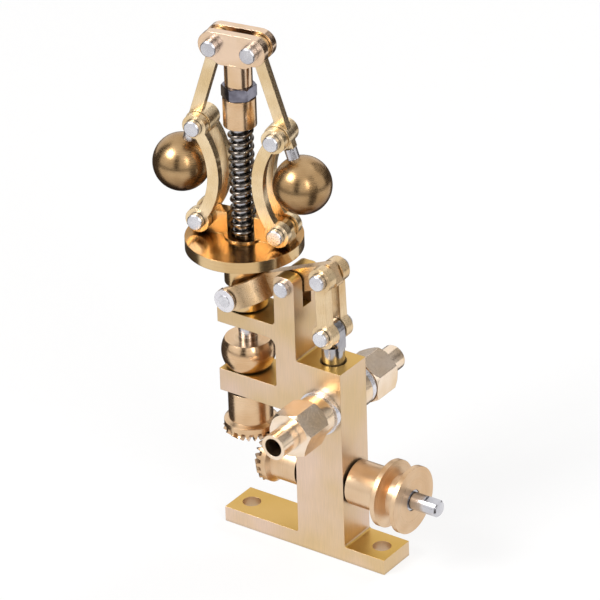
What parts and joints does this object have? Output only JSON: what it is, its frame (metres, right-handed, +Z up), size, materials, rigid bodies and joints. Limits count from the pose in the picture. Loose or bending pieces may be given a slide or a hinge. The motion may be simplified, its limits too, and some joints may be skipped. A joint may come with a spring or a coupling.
{
  "type": "flyball governor",
  "caption": "Small brass flyball governor on a flat foot: spinning balls lift a grooved sleeve, and a forked lever works a steam valve plunger; bevel gears and a belt pulley drive it.",
  "frame": {"origin": "middle of the foot's underside, half-way between its two bolt holes", "axes": "+Z up along the spindle; +X along the foot towards the belt pulley; -Y towards the front pipe union"},
  "size_m": [0.0578, 0.0379, 0.0989],
  "materials": {
    "brass": "machined",
    "bright_steel": "brushed",
    "dark_steel": "oiled",
    "nut_chrome": "polished"
  },
  "bodies": {
    "frame_side": {"frame": "brass", "lever_pivot_pin": "bright_steel", "inner_thrust_washer": "dark_steel", "outer_thrust_washer": "dark_steel", "front_seal_ring": "bright_steel", "front_union": "brass", "rear_spacer": "brass", "rear_seal_ring": "bright_steel", "rear_union": "brass"},
    "drive": {"drive_shaft": "bright_steel", "drive_gear": "brass", "belt_pulley": "brass"},
    "spindle_head": {"spindle": "bright_steel", "barrel_collar": "brass", "spindle_gear": "brass", "spring_collar": "brass", "lock_nut": "nut_chrome", "crosshead": "brass", "left_arm_pin": "bright_steel", "right_arm_pin": "bright_steel", "governor_spring": "dark_steel"},
    "left_swing_arm": {"left_arm": "brass", "left_stud": "bright_steel", "left_ball": "brass", "left_link_pin": "bright_steel"},
    "right_swing_arm": {"right_arm": "brass", "right_stud": "bright_steel", "right_ball": "brass", "right_link_pin": "bright_steel"},
    "left_links": {"left_front_link": "brass", "left_rear_link": "brass"},
    "right_links": {"right_front_link": "brass", "right_rear_link": "brass"},
    "sliding_sleeve": {"sleeve": "brass", "left_sleeve_pin": "bright_steel", "right_sleeve_pin": "bright_steel"},
    "rocking_lever": {"lever": "brass", "lever_link_pin": "bright_steel", "front_yoke_pin": "bright_steel", "rear_yoke_pin": "bright_steel", "front_yoke_washer": "bright_steel", "rear_yoke_washer": "bright_steel"},
    "drop_links": {"front_drop_link": "brass", "rear_drop_link": "brass"},
    "plunger": {"valve_plunger": "bright_steel", "plunger_pin": "bright_steel"}
  },
  "joints": [
    {"name": "drive_spin", "type": "hinge", "parent": "frame_side", "child": "drive", "pos_m": [0, 0, 0.01492], "axis": [1, 0, 0], "continuous": true},
    {"name": "spindle_spin", "type": "hinge", "parent": "frame_side", "child": "spindle_head", "pos_m": [-0.0138, 0, 0], "axis": [0, 0, 1], "continuous": true},
    {"name": "left_arm_swing", "type": "hinge", "parent": "spindle_head", "child": "left_swing_arm", "pos_m": [-0.01751, -0.00062, 0.0962], "axis": [-0.165, 0.9863, 0], "range_deg": [0, 15]},
    {"name": "right_arm_swing", "type": "hinge", "parent": "spindle_head", "child": "right_swing_arm", "pos_m": [-0.01009, 0.00062, 0.0962], "axis": [0.165, -0.9863, 0], "range_deg": [0, 15]},
    {"name": "left_link_swing", "type": "hinge", "parent": "left_swing_arm", "child": "left_links", "pos_m": [-0.02137, -0.00127, 0.07985], "axis": [0.165, -0.9863, 0], "range_deg": [0, 27.81]},
    {"name": "right_link_swing", "type": "hinge", "parent": "right_swing_arm", "child": "right_links", "pos_m": [-0.00623, 0.00127, 0.07985], "axis": [-0.165, 0.9863, 0], "range_deg": [0, 27.81]},
    {"name": "sleeve_lift", "type": "slide", "parent": "spindle_head", "child": "sliding_sleeve", "axis": [0, 0, 1], "range_m": [0, 0.00183], "deforming": ["governor_spring"]},
    {"name": "lever_rock", "type": "hinge", "parent": "frame_side", "child": "rocking_lever", "pos_m": [-0.00275, 0, 0.05283], "axis": [0, 1, 0], "range_deg": [0, 9.21]},
    {"name": "drop_link_swing", "type": "hinge", "parent": "rocking_lever", "child": "drop_links", "pos_m": [0.00441, 0, 0.05582], "axis": [0, -1, 0], "range_deg": [0, 7.22]},
    {"name": "plunger_fall", "type": "slide", "parent": "frame_side", "child": "plunger", "axis": [0, 0, -1], "range_m": [0, 0.00119]}
  ],
  "couplings": [
    {"joint": "spindle_spin", "follows": "drive_spin", "ratio": -1},
    {"joint": "right_arm_swing", "follows": "left_arm_swing", "ratio": 1},
    {"joint": "left_link_swing", "follows": "left_arm_swing", "ratio": 1.854},
    {"joint": "right_link_swing", "follows": "left_arm_swing", "ratio": 1.854},
    {"joint": "sleeve_lift", "follows": "left_arm_swing", "m_per_rad": 0.0069901},
    {"joint": "lever_rock", "follows": "left_arm_swing", "ratio": 0.61349},
    {"joint": "drop_link_swing", "follows": "left_arm_swing", "ratio": 0.48116},
    {"joint": "plunger_fall", "follows": "left_arm_swing", "m_per_rad": 0.0045464}
  ]
}
